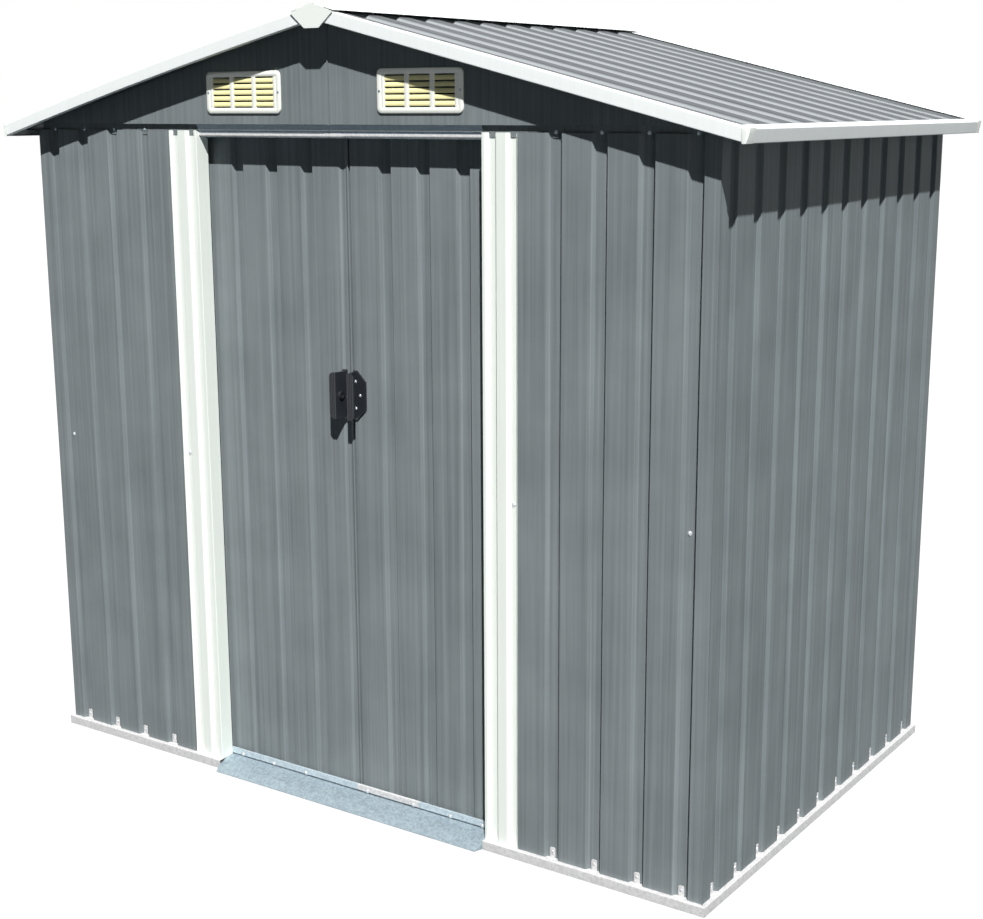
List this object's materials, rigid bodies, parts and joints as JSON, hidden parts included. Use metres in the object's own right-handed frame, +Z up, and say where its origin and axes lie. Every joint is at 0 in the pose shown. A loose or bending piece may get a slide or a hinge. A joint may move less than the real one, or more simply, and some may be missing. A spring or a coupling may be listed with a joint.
{
  "type": "metal storage shed",
  "caption": "Grey ribbed sheet-metal garden shed with a low gable roof, white trims and jambs, louvred gable vents and a pair of sliding doors over a ramped sill.",
  "frame": {"origin": "on the ground under the middle of the shed, half way between the eaves and between the verges", "axes": "+X to the right along the front with the doors, +Y to the back, +Z up"},
  "size_m": [2.05, 1.29, 1.836],
  "materials": {
    "wall_paint": "anthracite grey coil paint, satin",
    "white_trim": "off-white coil paint, satin",
    "galvanised": "hot-dip galvanised sheet with a fine spangle",
    "vent_plastic": "cream moulded plastic",
    "cap_plastic": "off-white moulded plastic",
    "black_plastic": "black moulded plastic, fine grain"
  },
  "bodies": {
    "shell": {"base_rail_front_left": "galvanised", "base_rail_front_right": "galvanised", "base_rail_back": "galvanised", "base_rail_left": "galvanised", "base_rail_right": "galvanised", "front_left_wall": "wall_paint", "front_right_wall": "wall_paint", "left_wall": "wall_paint", "right_wall": "wall_paint", "back_left_wall": "wall_paint", "back_right_wall": "wall_paint", "front_top_rail": "wall_paint", "back_top_rail": "wall_paint", "side_top_rails": "wall_paint", "mid_rails": "galvanised", "left_jamb": "white_trim", "right_jamb": "white_trim", "door_track": "galvanised", "bottom_track": "galvanised", "door_sill": "galvanised", "front_gable_left": "wall_paint", "front_gable_right": "wall_paint", "back_gable_left": "wall_paint", "back_gable_right": "wall_paint", "front_vents": "vent_plastic", "back_vents": "vent_plastic", "left_roof_front": "wall_paint", "left_roof_back": "wall_paint", "right_roof_front": "wall_paint", "right_roof_back": "wall_paint", "front_left_verge": "white_trim", "front_right_verge": "white_trim", "back_left_verge": "white_trim", "back_right_verge": "white_trim", "eave_trims": "white_trim", "ridge_cap": "white_trim", "ridge_end_caps": "cap_plastic", "eave_corner_caps": "cap_plastic", "roof_beams": "galvanised"},
    "left_door": {"left_door_sheet": "wall_paint", "left_door_runners": "black_plastic", "left_door_handle": "black_plastic"},
    "right_door": {"right_door_sheet": "wall_paint", "right_door_runners": "black_plastic", "right_door_handle": "black_plastic"}
  },
  "joints": [
    {"name": "left_door_slide", "type": "slide", "parent": "shell", "child": "left_door", "axis": [-1, 0, 0], "range_m": [0, 0.355]},
    {"name": "right_door_slide", "type": "slide", "parent": "shell", "child": "right_door", "axis": [1, 0, 0], "range_m": [0, 0.355]}
  ]
}
